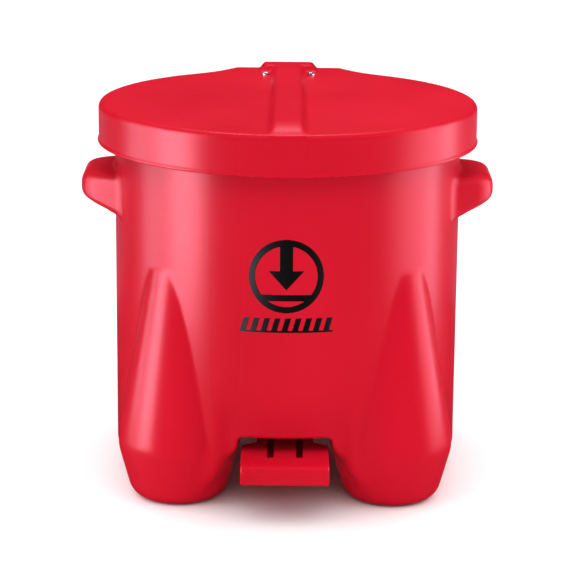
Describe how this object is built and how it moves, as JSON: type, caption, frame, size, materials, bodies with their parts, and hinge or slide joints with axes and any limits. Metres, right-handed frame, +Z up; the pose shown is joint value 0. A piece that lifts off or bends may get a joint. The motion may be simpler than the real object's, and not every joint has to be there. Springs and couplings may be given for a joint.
{
  "type": "pedal waste bin",
  "caption": "Round waste can with four buttressed feet, a hinged lid that a foot lever in a channel underneath lifts through a rod, two side lugs and plain printed marks.",
  "frame": {"origin": "on the floor, under the middle of the whole object's box", "axes": "+Z up, the front of the can and its tread towards -Y, +X to the right seen from the front"},
  "size_m": [0.458, 0.471, 0.4286],
  "materials": {
    "red_plastic": "moulded polyethylene, semi-gloss",
    "black_print": "printed film",
    "white_nylon": "natural nylon",
    "zinc_steel": "zinc plated",
    "aluminium": "bare"
  },
  "bodies": {
    "can": {"body_shell": "red_plastic", "body_hinge_bracket": "zinc_steel", "bracket_bolt_1": "zinc_steel", "bracket_bolt_2": "zinc_steel", "bracket_bolt_3": "zinc_steel", "bracket_bolt_4": "zinc_steel", "bracket_nut_1": "zinc_steel", "bracket_nut_2": "zinc_steel", "bracket_nut_3": "zinc_steel", "bracket_nut_4": "zinc_steel", "front_roundel": "black_print", "front_stripes": "black_print", "guide_screw_left": "zinc_steel", "guide_screw_right": "zinc_steel", "hinge_pin": "zinc_steel", "hinge_pin_nut_left": "zinc_steel", "hinge_pin_nut_right": "zinc_steel", "hinge_spacer_left": "white_nylon", "hinge_spacer_right": "white_nylon", "lever_pin_nut_left": "zinc_steel", "lever_pin_nut_right": "zinc_steel", "lever_pivot_pin": "zinc_steel", "rod_guide": "white_nylon"},
    "lid": {"lid_shell": "red_plastic", "lid_hinge_bracket": "zinc_steel", "lid_rivet_left": "aluminium", "lid_rivet_right": "aluminium"},
    "lever": {"foot_lever": "red_plastic", "lever_bush_left": "white_nylon", "lever_bush_right": "white_nylon", "rod_lower_pin": "zinc_steel", "rod_lower_clip": "zinc_steel"},
    "rod": {"lift_rod": "zinc_steel", "rod_upper_pin": "zinc_steel", "rod_upper_clip": "zinc_steel"}
  },
  "joints": [
    {"name": "lid_hinge", "type": "hinge", "parent": "can", "child": "lid", "pos_m": [0, 0.2215, 0.404], "axis": [-1, 0, 0], "range_deg": [0, 60]},
    {"name": "lever_pivot", "type": "hinge", "parent": "can", "child": "lever", "pos_m": [0, 0.0145, 0.052], "axis": [1, 0, 0], "range_deg": [0, 6.72]},
    {"name": "rod_lift", "type": "slide", "parent": "can", "child": "rod", "axis": [0, 0, 1], "range_m": [0, 0.0221]}
  ],
  "couplings": [
    {"joint": "lever_pivot", "follows": "lid_hinge", "ratio": 0.1118},
    {"joint": "rod_lift", "follows": "lid_hinge", "m_per_rad": 0.021008}
  ]
}
